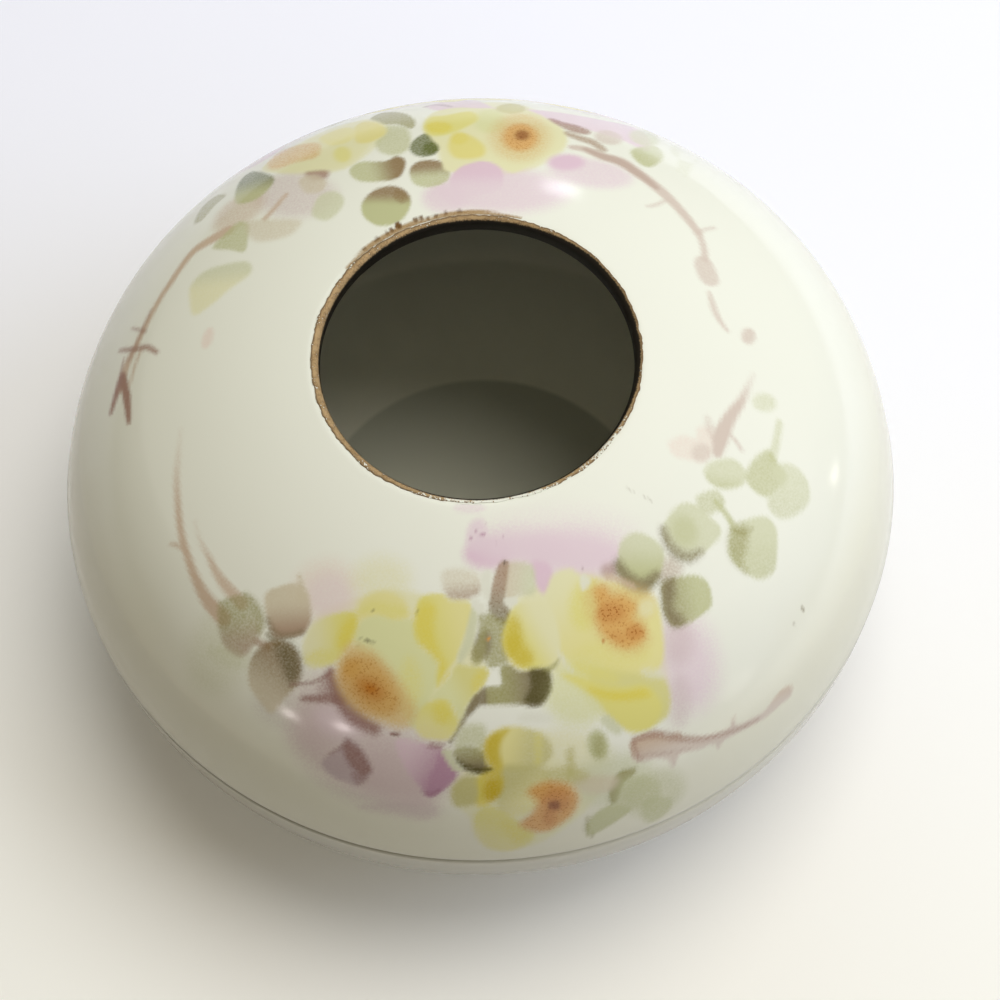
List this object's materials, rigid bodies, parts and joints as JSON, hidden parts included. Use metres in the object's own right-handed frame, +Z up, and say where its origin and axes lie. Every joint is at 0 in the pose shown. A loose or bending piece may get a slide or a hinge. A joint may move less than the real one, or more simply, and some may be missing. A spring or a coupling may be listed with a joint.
{
  "type": "hair receiver",
  "caption": "Low round glazed porcelain jar with a lift-off domed lid, an open round hole in the lid with a worn gilt edge, and painted roses.",
  "frame": {"origin": "on the table under the middle of the bowl's foot ring", "axes": "+Z up along the axis that every piece is turned about; -Y faces the camera side of the picture, and +X is to its right"},
  "size_m": [0.114, 0.114, 0.0574],
  "materials": {
    "bowl_glaze": "glossy pale cream glaze, bare on the foot ring and on the faces that touch",
    "lid_glaze": "glossy pale cream glaze with soft painted roses, leaves and stems",
    "gilding": "fired gold, rubbed matt and worn through in places"
  },
  "bodies": {
    "bowl": {"bowl": "bowl_glaze"},
    "lid": {"lid": "lid_glaze", "gilt_rim": "gilding"}
  },
  "joints": [
    {"name": "lid_lift", "type": "slide", "parent": "bowl", "child": "lid", "axis": [0, 0, 1], "range_m": [0, 0.06]}
  ]
}
